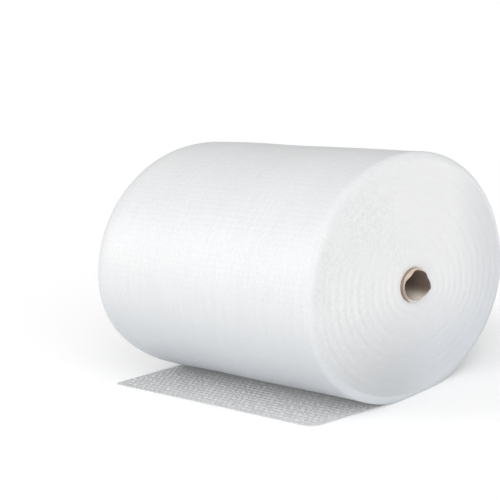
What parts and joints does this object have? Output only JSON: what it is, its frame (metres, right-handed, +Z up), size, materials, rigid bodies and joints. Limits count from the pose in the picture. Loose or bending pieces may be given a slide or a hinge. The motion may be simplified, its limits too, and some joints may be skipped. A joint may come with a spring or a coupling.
{
  "type": "bubble film roll",
  "caption": "Roll of cushioning bubble film on a cardboard core, lying on its side with the free end run out flat in front of it.",
  "frame": {"origin": "middle of the roll's length and width, on the floor that it lies on", "axes": "+X along the roll's axis towards its near end, -Y towards the free end's cut edge, +Z up"},
  "size_m": [0.513, 0.496, 0.3944],
  "materials": {
    "film": "soft sheen, milky clear",
    "core": "matte"
  },
  "bodies": {
    "root": {"bubble_film": "film", "cardboard_core": "core"}
  },
  "joints": []
}
